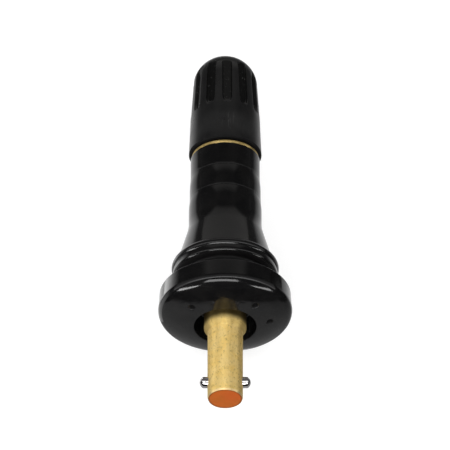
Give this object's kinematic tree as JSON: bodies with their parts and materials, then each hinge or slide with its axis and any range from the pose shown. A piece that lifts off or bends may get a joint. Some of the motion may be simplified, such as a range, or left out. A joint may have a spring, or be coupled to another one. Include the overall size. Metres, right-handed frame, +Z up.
{
  "type": "tyre valve",
  "caption": "Snap-in rubber tyre valve with a brass stem, a cross pin for a pressure sensor, a sprung valve core and a fluted screw cap.",
  "frame": {"origin": "on the valve's axis, in the plane of the flange face that seats on the rim, at the centre of the rim hole", "axes": "+Y along the valve's axis towards the dust cap; X along the cross pin; +Z up"},
  "size_m": [0.019, 0.0573, 0.019],
  "materials": {
    "rubber": "glossy moulded",
    "brass": "satin, slightly tarnished",
    "pin_steel": "polished",
    "orange_plug": "satin",
    "core_brass": "bright turned",
    "gasket": "satin",
    "spring_wire": "drawn wire",
    "seal_rubber": "matte",
    "cap_plastic": "satin moulded"
  },
  "bodies": {
    "valve": {"rubber_body": "rubber", "valve_stem": "brass", "cross_pin": "pin_steel", "end_plug": "orange_plug", "core_plug": "core_brass", "core_barrel": "core_brass", "core_gasket": "gasket", "core_spring": "spring_wire"},
    "plunger": {"core_pin": "core_brass", "core_washer": "seal_rubber", "core_cup": "core_brass"},
    "cap_seal": {"cap_seal": "seal_rubber"},
    "cap": {"dust_cap": "cap_plastic"}
  },
  "joints": [
    {"name": "core_press", "type": "slide", "parent": "valve", "child": "plunger", "axis": [0, -1, 0], "range_m": [0, 0.0015], "stiffness_N_per_m": 400, "deforming": ["core_spring"]},
    {"name": "cap_lift", "type": "slide", "parent": "valve", "child": "cap_seal", "axis": [0, 1, 0], "range_m": [0, 0.00873]},
    {"name": "cap_turn", "type": "hinge", "parent": "cap_seal", "child": "cap", "pos_m": [0, 0.03, 0], "axis": [0, 1, 0], "range_deg": [0, 3960]}
  ],
  "couplings": [
    {"joint": "cap_turn", "follows": "cap_lift", "rad_per_m": 7913.3}
  ]
}
